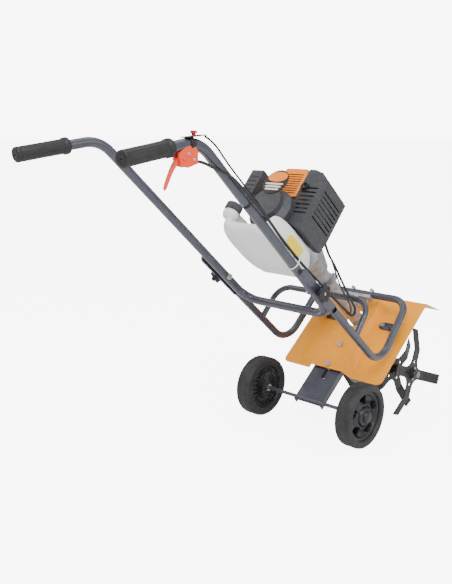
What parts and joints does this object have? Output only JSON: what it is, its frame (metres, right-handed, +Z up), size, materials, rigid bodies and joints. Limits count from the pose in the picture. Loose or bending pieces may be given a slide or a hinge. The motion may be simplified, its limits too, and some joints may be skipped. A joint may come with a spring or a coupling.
{
  "type": "garden tiller",
  "caption": "Two-wheeled petrol garden tiller with a sloping engine, four tine stars under an orange guard and a folding U-shaped handle.",
  "frame": {"origin": "on the ground midway between the wheels, under their axle", "axes": "+X to the machine's right along the axle, +Y forwards from the grips to the tines, +Z up"},
  "size_m": [0.392, 1.1702, 0.8037],
  "materials": {
    "frame_paint": "powder-coated, dark grey-blue, satin",
    "guard_paint": "gloss orange paint",
    "tine_paint": "black paint, satin",
    "bright_steel": "zinc-plated",
    "gear_bronze": "machined",
    "gear_steel": "ground",
    "cast_aluminium": "die cast, matt",
    "engine_plastic": "moulded, dark grey, matt",
    "orange_plastic": "moulded, orange",
    "black_plastic": "moulded, black, satin",
    "tank_plastic": "translucent white polyethylene",
    "wheel_plastic": "moulded, black, matt",
    "grip_rubber": "matt black",
    "red_plastic": "moulded, red, gloss",
    "cord_sheath": "black sheath",
    "fuel_rubber": "black rubber"
  },
  "bodies": {
    "machine": {"left_gear_case": "tine_paint", "right_gear_case": "tine_paint", "gear_bearings": "gear_steel", "drive_neck": "cast_aluminium", "tube_clamp": "black_plastic", "drive_tube": "black_plastic", "clutch_housing": "cast_aluminium", "crankcase": "cast_aluminium", "cylinder": "cast_aluminium", "piston": "cast_aluminium", "connecting_rod": "gear_steel", "spark_plug": "bright_steel", "plug_boot": "black_plastic", "carburettor": "cast_aluminium", "air_filter_cover": "engine_plastic", "muffler": "gear_steel", "engine_shroud": "engine_plastic", "top_cover": "orange_plastic", "starter_cover": "engine_plastic", "fuel_tank": "tank_plastic", "fuel_hoses": "fuel_rubber", "tine_guard": "guard_paint", "guard_bolts": "bright_steel", "loop_frame": "frame_paint", "brace_loop": "frame_paint", "guard_tabs": "frame_paint", "frame_bolts": "bright_steel", "knob_bolts": "bright_steel", "throttle_cable": "cord_sheath", "switch_wire": "cord_sheath"},
    "handle": {"handle_tube": "frame_paint", "left_grip": "grip_rubber", "right_grip": "grip_rubber", "throttle_housing": "black_plastic", "switch_strap": "black_plastic"},
    "throttle": {"throttle_lever": "red_plastic"},
    "stop": {"stop_button": "red_plastic"},
    "left_knob_body": {"left_knob": "black_plastic"},
    "right_knob_body": {"right_knob": "black_plastic"},
    "choke": {"choke_lever": "black_plastic"},
    "cap": {"fuel_cap": "black_plastic"},
    "starter_pull_body": {"starter_handle": "black_plastic"},
    "crank": {"crankshaft": "gear_steel", "flywheel": "cast_aluminium", "clutch_shoes": "gear_steel"},
    "drive_line": {"worm_shaft": "gear_steel", "clutch_drum": "gear_steel"},
    "tine_rotor": {"tine_shaft": "gear_steel", "worm_wheel": "gear_bronze", "outer_left_star": "tine_paint", "inner_left_star": "tine_paint", "inner_right_star": "tine_paint", "outer_right_star": "tine_paint", "tine_pins": "bright_steel"},
    "wheel_carriage": {"wheel_bracket": "frame_paint", "axle": "bright_steel", "axle_collars": "bright_steel"},
    "left_wheel_body": {"left_wheel": "wheel_plastic"},
    "right_wheel_body": {"right_wheel": "wheel_plastic"}
  },
  "joints": [
    {"name": "handle_fold", "type": "hinge", "parent": "machine", "child": "handle", "pos_m": [0, -0.17629, 0.43439], "axis": [-1, 0, 0], "range_deg": [0, 140], "deforming": ["throttle_cable", "switch_wire"]},
    {"name": "left_knob_turn", "type": "hinge", "parent": "machine", "child": "left_knob_body", "pos_m": [-0.165, -0.17629, 0.43439], "axis": [-1, 0, 0], "continuous": true},
    {"name": "right_knob_turn", "type": "hinge", "parent": "machine", "child": "right_knob_body", "pos_m": [0.165, -0.17629, 0.43439], "axis": [1, 0, 0], "continuous": true},
    {"name": "throttle_squeeze", "type": "hinge", "parent": "handle", "child": "throttle", "pos_m": [0.1565, -0.60829, 0.75243], "axis": [-1, 0, 0], "range_deg": [0, 26], "stiffness_Nm_per_rad": 0.6, "springref_deg": -17.19},
    {"name": "stop_press", "type": "slide", "parent": "handle", "child": "stop", "axis": [0, 0, -1], "range_m": [0, 0.002], "stiffness_N_per_m": 600, "springref_m": -0.001},
    {"name": "choke_turn", "type": "hinge", "parent": "machine", "child": "choke", "pos_m": [-0.06, -0.06857, 0.60504], "axis": [0, 0.7513, -0.66], "range_deg": [0, 70]},
    {"name": "fuel_cap_turn", "type": "hinge", "parent": "machine", "child": "cap", "pos_m": [-0.07, -0.22276, 0.61937], "axis": [0, 0.66, 0.7513], "range_deg": [0, 540]},
    {"name": "starter_pull", "type": "slide", "parent": "machine", "child": "starter_pull_body", "axis": [-0.75, 0, 0.6614], "range_m": [0, 0.55], "stiffness_N_per_m": 12, "springref_m": -0.05},
    {"name": "crank_spin", "type": "hinge", "parent": "machine", "child": "crank", "pos_m": [0, -0.11984, 0.57288], "axis": [0, 0.7513, -0.66], "continuous": true},
    {"name": "tine_spin", "type": "hinge", "parent": "machine", "child": "tine_rotor", "pos_m": [0, 0.288, 0.125], "axis": [1, 0, 0], "continuous": true},
    {"name": "drive_spin", "type": "hinge", "parent": "machine", "child": "drive_line", "pos_m": [0, 0.33242, 0.17556], "axis": [0, 0.7513, -0.66], "continuous": true},
    {"name": "bracket_slide", "type": "slide", "parent": "machine", "child": "wheel_carriage", "axis": [0, 0.7771, 0.6293], "range_m": [-0.03, 0.018]},
    {"name": "left_wheel_spin", "type": "hinge", "parent": "wheel_carriage", "child": "left_wheel_body", "pos_m": [-0.169, 0, 0.085], "axis": [1, 0, 0], "continuous": true},
    {"name": "right_wheel_spin", "type": "hinge", "parent": "wheel_carriage", "child": "right_wheel_body", "pos_m": [0.169, 0, 0.085], "axis": [1, 0, 0], "continuous": true}
  ],
  "couplings": [
    {"joint": "drive_spin", "follows": "tine_spin", "ratio": 32}
  ]
}
